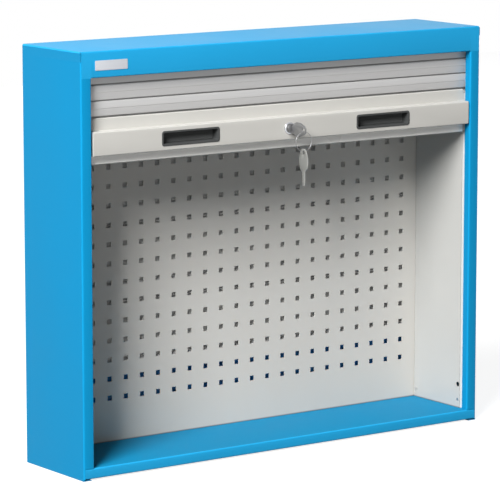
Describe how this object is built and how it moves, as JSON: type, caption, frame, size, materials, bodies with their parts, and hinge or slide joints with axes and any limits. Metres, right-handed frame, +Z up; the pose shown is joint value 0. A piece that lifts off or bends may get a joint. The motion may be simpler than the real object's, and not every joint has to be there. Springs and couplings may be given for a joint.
{
  "type": "roll front tool cabinet",
  "caption": "Wall-hung sheet-steel tool cabinet with a slatted roll front, a locking end rail with recessed grips, and a perforated back for tool hooks.",
  "frame": {"origin": "middle of the assembly's footprint, on the surface that the casing's feet stand on", "axes": "+X to the cabinet's right seen from the front, front towards -Y, +Z up"},
  "size_m": [0.955, 0.2662, 0.812],
  "materials": {
    "casing_blue": "satin powder coat",
    "lining_grey": "semi-gloss light grey paint",
    "slat_silver": "silver anodised, fine grain along the slats",
    "rail_grey": "warm grey satin paint",
    "guide_white": "white plastic",
    "steel": "zinc plated",
    "chrome": "polished",
    "key_steel": "nickel plated",
    "plate": "blank satin plate",
    "grip_black": "black moulded plastic"
  },
  "bodies": {
    "cabinet": {"left_side_wall": "casing_blue", "right_side_wall": "casing_blue", "top_panel": "casing_blue", "bottom_panel": "casing_blue", "rear_wall": "casing_blue", "perforated_back_panel": "lining_grey", "left_lining_panel": "lining_grey", "right_lining_panel": "lining_grey", "ceiling_panel": "lining_grey", "left_front_guide": "guide_white", "right_front_guide": "guide_white", "left_top_guide": "guide_white", "right_top_guide": "guide_white", "left_rear_guide": "guide_white", "right_rear_guide": "guide_white", "guide_spacers": "steel", "lining_screws": "steel", "tail_stops": "steel", "name_plate": "plate", "slat_04": "slat_silver", "slat_05": "slat_silver", "slat_06": "slat_silver", "slat_07": "slat_silver", "slat_08": "slat_silver", "slat_09": "slat_silver", "slat_10": "slat_silver", "tail_slats": "slat_silver"},
    "shutter": {"end_rail": "rail_grey", "rail_back_cover": "rail_grey", "left_rail_cap": "rail_grey", "right_rail_cap": "rail_grey", "left_grip_cup": "grip_black", "right_grip_cup": "grip_black", "rail_screws": "steel", "left_rod_guide": "steel", "right_rod_guide": "steel", "lock_barrel": "chrome", "lock_nut": "steel", "slat_01": "slat_silver", "slat_02": "slat_silver", "slat_03": "slat_silver"},
    "lock": {"lock_plug": "steel", "lock_cam": "steel"},
    "left_rod": {"left_lock_rod": "steel"},
    "right_rod": {"right_lock_rod": "steel"},
    "key": {"key": "key_steel"},
    "key_ring": {"key_ring": "chrome"},
    "spare_key": {"spare_key": "key_steel"}
  },
  "joints": [
    {"name": "shutter_slide", "type": "slide", "parent": "cabinet", "child": "shutter", "axis": [0, 0, -1], "range_m": [0, 0.573], "deforming": ["slat_04"]},
    {"name": "key_turn", "type": "hinge", "parent": "shutter", "child": "lock", "pos_m": [0, -0.07185, 0.638], "axis": [0, 1, 0], "range_deg": [0, 90]},
    {"name": "left_rod_slide", "type": "slide", "parent": "shutter", "child": "left_rod", "axis": [-1, 0, 0], "range_m": [0, 0.0128]},
    {"name": "right_rod_slide", "type": "slide", "parent": "shutter", "child": "right_rod", "axis": [1, 0, 0], "range_m": [0, 0.0128]},
    {"name": "key_pull", "type": "slide", "parent": "lock", "child": "key", "axis": [0, -1, 0], "range_m": [0, 0.03]},
    {"name": "key_ring_swing", "type": "hinge", "parent": "key", "child": "key_ring", "pos_m": [0, -0.11965, 0.638], "axis": [1, 0, 0], "range_deg": [-60, 12]},
    {"name": "spare_key_swing", "type": "hinge", "parent": "key_ring", "child": "spare_key", "pos_m": [0, -0.11965, 0.5946], "axis": [1, 0, 0], "range_deg": [-40, 15]}
  ],
  "couplings": [
    {"joint": "left_rod_slide", "follows": "key_turn", "m_per_rad": 0.0081028},
    {"joint": "right_rod_slide", "follows": "key_turn", "m_per_rad": 0.0081028}
  ]
}
